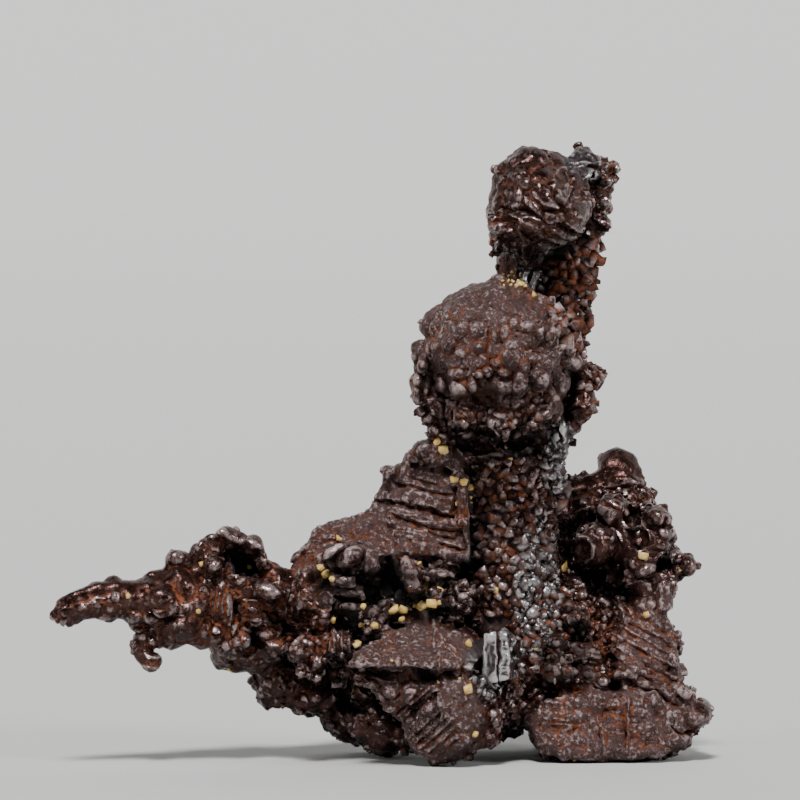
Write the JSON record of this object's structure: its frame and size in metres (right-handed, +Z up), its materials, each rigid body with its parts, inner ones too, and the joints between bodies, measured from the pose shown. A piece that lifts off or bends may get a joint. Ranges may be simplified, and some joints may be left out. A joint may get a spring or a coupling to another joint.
{
  "type": "prophecy stone",
  "caption": "Intergrown dark brown iron oxide crystal cluster with a toothed column, crystal balls, a ribbed wing and a side arm, standing free.",
  "frame": {"origin": "on the resting plane, under the middle of the stone's box", "axes": "+Z up, +X along the stone's width towards the foot block, +Y away from the side with the two balls"},
  "size_m": [0.0416, 0.018, 0.0388],
  "materials": {
    "iron_oxide": "dark brown iron oxide, waxy to sub-metallic, rusty in its crevices",
    "sand": "golden quartz sand grains lodged in the crevices"
  },
  "bodies": {
    "root": {"prophecy_stone": "iron_oxide"}
  },
  "joints": []
}
